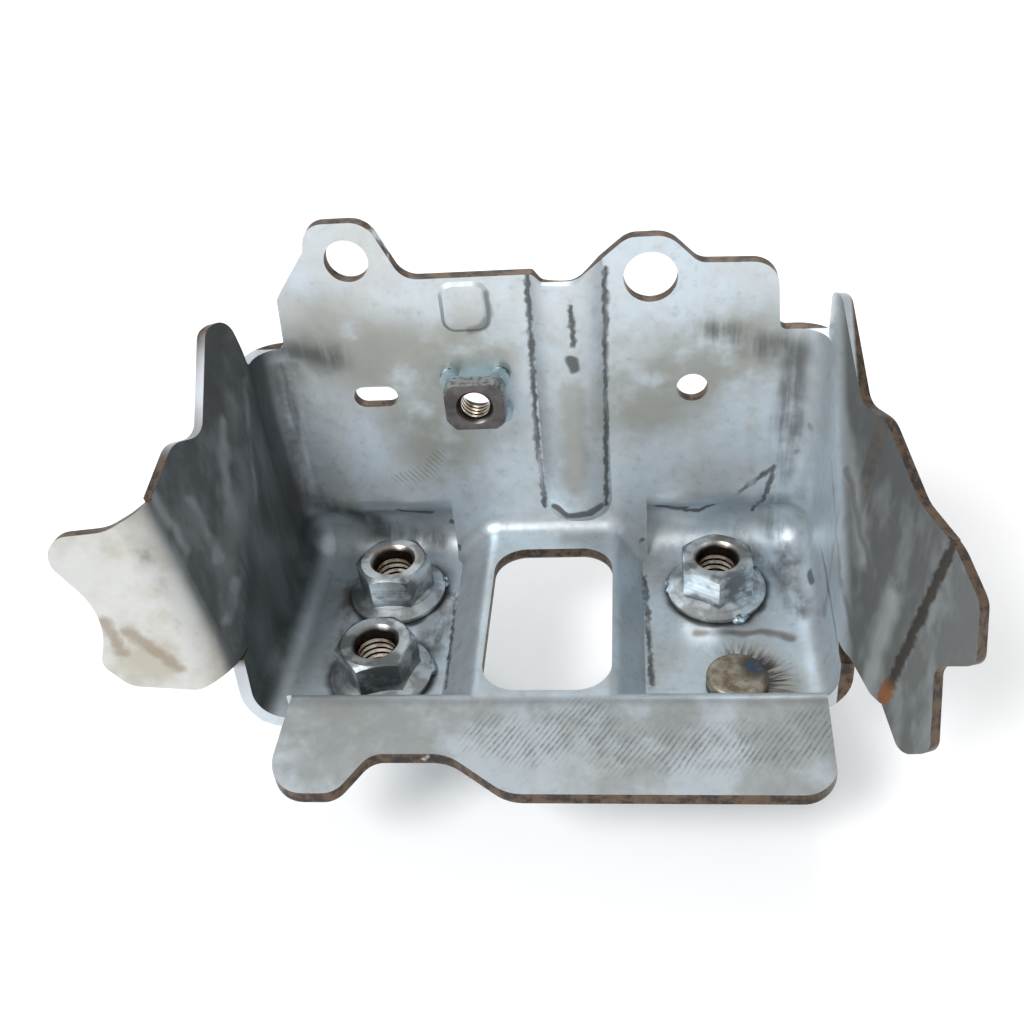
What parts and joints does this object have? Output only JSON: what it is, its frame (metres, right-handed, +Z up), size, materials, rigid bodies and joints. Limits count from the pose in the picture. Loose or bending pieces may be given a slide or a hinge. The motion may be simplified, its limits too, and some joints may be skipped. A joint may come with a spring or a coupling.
{
  "type": "bumper reinforcement bracket",
  "caption": "Pressed steel tray-shaped bracket with tall eared rear wall, flared wings, raised windowed band, flange weld nuts and a weld bolt.",
  "frame": {"origin": "on the weld bolt's axis, at the underside of the floor pads", "axes": "+X to the right along the rear wall, +Y back towards the rear wall, +Z up from the pads"},
  "size_m": [0.1705, 0.08, 0.1078],
  "materials": {
    "bare_steel": "bare pressed sheet, scuffed, with light heat tint",
    "dark_steel": "phosphated nuts",
    "bolt_steel": "heat-tinted bolt head"
  },
  "bodies": {
    "root": {"bracket_stamping": "bare_steel", "rear_left_weld_nut": "dark_steel", "front_left_weld_nut": "dark_steel", "rear_right_weld_nut": "dark_steel", "square_weld_nut": "dark_steel", "weld_bolt": "bolt_steel"}
  },
  "joints": []
}
